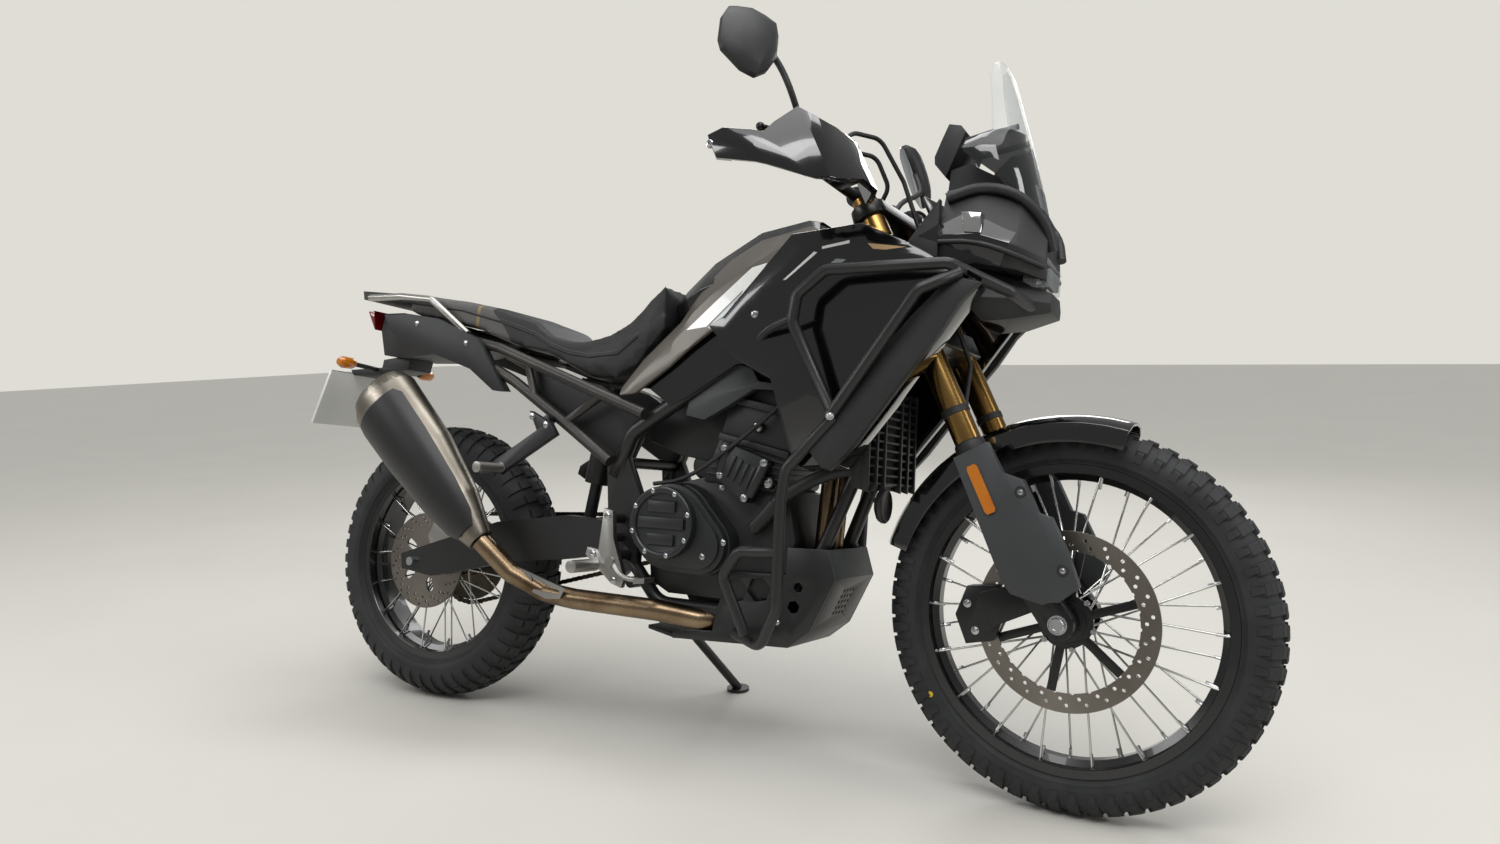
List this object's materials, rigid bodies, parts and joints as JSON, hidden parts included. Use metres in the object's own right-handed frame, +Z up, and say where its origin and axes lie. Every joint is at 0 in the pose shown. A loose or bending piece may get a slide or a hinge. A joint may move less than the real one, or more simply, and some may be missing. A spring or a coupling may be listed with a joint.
{
  "type": "adventure motorcycle",
  "caption": "Adventure motorcycle parked on its side stand, with turning wheels, steering, crash bars, tall screen, rear rack and side silencer.",
  "frame": {"origin": "centre of the parked machine's outline on the floor, under the tyres and the stand foot", "axes": "+X forward along the machine, +Y to the rider's left, +Z up from the floor; the machine leans 9.8 degrees to +Y on its side stand"},
  "size_m": [2.2665, 0.948, 1.4383],
  "materials": {
    "frame_black": "satin",
    "subframe_grey": "satin",
    "engine_black": "matte",
    "cover_black": "satin",
    "crash_bar_black": "satin",
    "radiator_black": "satin",
    "skid_black": "matte",
    "bronze_exhaust": "satin",
    "silencer_steel": "brushed",
    "tank_black": "gloss",
    "seat_cover": "matte",
    "panel_black": "matte",
    "panel_grey": "metallic",
    "gloss_black": "gloss",
    "lamp_clear": "clear",
    "screen_clear": "clear",
    "lamp_red": "gloss",
    "gold_anodised": "satin",
    "leg_steel": "satin",
    "guard_grey": "matte",
    "axle_steel": "satin",
    "caliper_black": "satin",
    "grip_rubber": "matte",
    "disc_steel": "brushed",
    "rim_black": "gloss",
    "spoke_steel": "satin",
    "tyre_rubber": "matte",
    "chain_steel": "satin",
    "hose_rubber": "satin",
    "rack_silver": "satin"
  },
  "bodies": {
    "chassis": {"main_frame": "frame_black", "subframe": "subframe_grey", "swingarm": "frame_black", "rear_axle": "axle_steel", "rear_caliper": "caliper_black", "rear_shock": "frame_black", "chain": "chain_steel", "engine": "engine_black", "engine_covers": "cover_black", "radiator": "radiator_black", "skid_plate": "skid_black", "exhaust_pipe": "bronze_exhaust", "silencer": "silencer_steel", "fuel_tank": "tank_black", "seat": "seat_cover", "side_panels": "panel_black", "tank_panels": "panel_grey", "side_fairings": "gloss_black", "nose_fairing": "gloss_black", "beak": "panel_black", "headlamp": "lamp_clear", "windscreen": "screen_clear", "display": "panel_black", "tail_fairing": "panel_black", "rear_rack": "rack_silver", "tail_lamp": "lamp_red", "plate_holder": "panel_black", "crash_bars": "crash_bar_black", "engine_guards": "crash_bar_black", "foot_pegs": "frame_black"},
    "steering": {"triple_clamps": "frame_black", "fork_tubes": "gold_anodised", "fork_legs": "leg_steel", "fork_guards": "guard_grey", "front_axle": "axle_steel", "front_fender": "gloss_black", "front_caliper": "caliper_black", "handlebar": "frame_black", "grips": "grip_rubber", "handguards": "gloss_black", "hand_controls": "frame_black", "mirrors": "gloss_black", "control_cables": "hose_rubber"},
    "front_wheel": {"front_tyre": "tyre_rubber", "front_rim": "rim_black", "front_hub": "spoke_steel", "front_disc": "disc_steel", "disc_carrier": "frame_black"},
    "rear_wheel": {"rear_tyre": "tyre_rubber", "rear_rim": "rim_black", "rear_hub": "spoke_steel", "rear_disc": "disc_steel", "rear_sprocket": "chain_steel"},
    "side_stand": {"side_stand": "frame_black"}
  },
  "joints": [
    {"name": "steering_turn", "type": "hinge", "parent": "chassis", "child": "steering", "pos_m": [0.88887, -0.21357, 0.00138], "axis": [-0.4386, 0.153, 0.8856], "range_deg": [-33.7, 40.3]},
    {"name": "front_wheel_spin", "type": "hinge", "parent": "steering", "child": "front_wheel", "pos_m": [0.7837, -0.15736, 0.34679], "axis": [0.0517, 0.9881, -0.145], "continuous": true},
    {"name": "rear_wheel_spin", "type": "hinge", "parent": "chassis", "child": "rear_wheel", "pos_m": [-0.72121, -0.15747, 0.32618], "axis": [0, 0.9854, -0.1702], "continuous": true},
    {"name": "side_stand_fold", "type": "hinge", "parent": "chassis", "child": "side_stand", "pos_m": [-0.14619, -0.0488, 0.23854], "axis": [-0.0035, 0.8292, 0.5589], "range_deg": [0, 97]}
  ]
}
